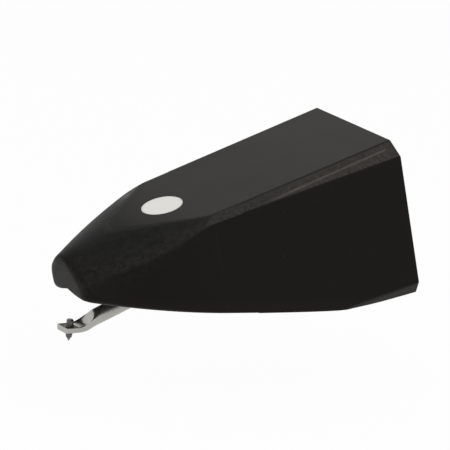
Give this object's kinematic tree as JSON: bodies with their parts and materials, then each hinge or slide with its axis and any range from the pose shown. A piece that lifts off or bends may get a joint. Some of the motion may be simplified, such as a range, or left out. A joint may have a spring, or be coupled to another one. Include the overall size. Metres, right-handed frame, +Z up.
{
  "type": "turntable stylus",
  "caption": "Replacement stylus for a record player's cartridge: hollow wedge-shaped grip, plug-in support tube, and a sprung cantilever with a diamond tip.",
  "frame": {"origin": "on the axis of the support tube, in the plane of the grip's rear rim, which seats on the cartridge", "axes": "playing attitude over a level record: +Z up from the record, +X to the rear (the side that plugs in), the nose and the diamond towards -X, +Y to one side; the plug axis lies in the XZ plane and rises 16 degrees towards +X"},
  "size_m": [0.0185, 0.0082, 0.01],
  "materials": {
    "grip_plastic": "moulded black plastic: smooth top, spark-eroded bevels, fine polished flanks",
    "dot_paint": "white paint, slightly glossy",
    "tube_metal": "drawn and nickel plated",
    "damper_rubber": "soft butyl rubber",
    "collar_brass": "turned",
    "magnet_metal": "ground sintered metal",
    "wire_steel": "drawn wire",
    "anchor_brass": "turned and pressed in",
    "cantilever_aluminium": "drawn and polished, pressed flat at the tip",
    "shank_steel": "turned, dark grey",
    "diamond": "ground and polished cone",
    "adhesive": "set adhesive"
  },
  "bodies": {
    "root": {"housing": "grip_plastic", "marker_dot": "dot_paint", "support_tube": "tube_metal", "wire_anchor": "anchor_brass", "tie_wire": "wire_steel"},
    "damper": {"damper_ring": "damper_rubber"},
    "cantilever_set": {"cantilever": "cantilever_aluminium", "pivot_collar": "collar_brass", "magnet": "magnet_metal", "tip_shank": "shank_steel", "diamond_tip": "diamond", "tip_bond": "adhesive"}
  },
  "joints": [
    {"name": "cantilever_sway", "type": "hinge", "parent": "root", "child": "damper", "pos_m": [-0.00899, 0, -0.00258], "axis": [0, 0, 1], "range_deg": [-4, 4], "stiffness_Nm_per_rad": 0.0017, "deforming": ["damper_ring", "tie_wire"]},
    {"name": "cantilever_lift", "type": "hinge", "parent": "damper", "child": "cantilever_set", "pos_m": [-0.00899, 0, -0.00258], "axis": [0, 1, 0], "range_deg": [-2, 7], "stiffness_Nm_per_rad": 0.0017, "deforming": ["damper_ring", "tie_wire"]}
  ]
}
